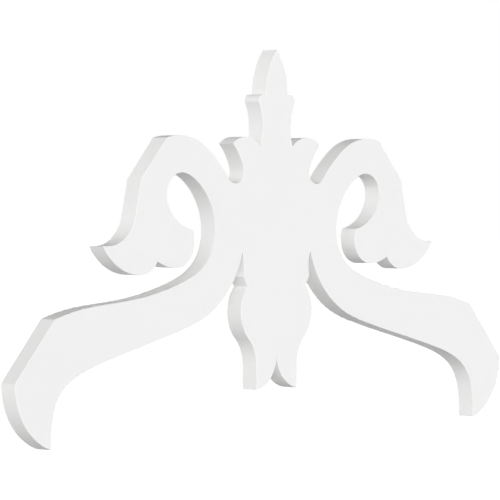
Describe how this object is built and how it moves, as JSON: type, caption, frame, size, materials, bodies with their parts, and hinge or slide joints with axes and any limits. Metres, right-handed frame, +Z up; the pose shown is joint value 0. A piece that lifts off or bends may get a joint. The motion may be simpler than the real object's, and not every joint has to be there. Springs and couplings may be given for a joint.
{
  "type": "gable pediment",
  "caption": "Flat sawn gable pediment: a spear finial over leaf lobes, open scrolls and long arms trimmed to a steep roof line, with a forked drop below.",
  "frame": {"origin": "on the back face and the centreline, 381 mm straight below the point where the two roof lines meet", "axes": "+X to the right along the gable as seen from the front, +Y from the front face to the back face and into the wall, +Z up"},
  "size_m": [0.9144, 0.0254, 0.4977],
  "materials": {
    "white_board": "smooth matt white cellular PVC board with sawn and sanded edges"
  },
  "bodies": {
    "root": {"pediment_board": "white_board"}
  },
  "joints": []
}
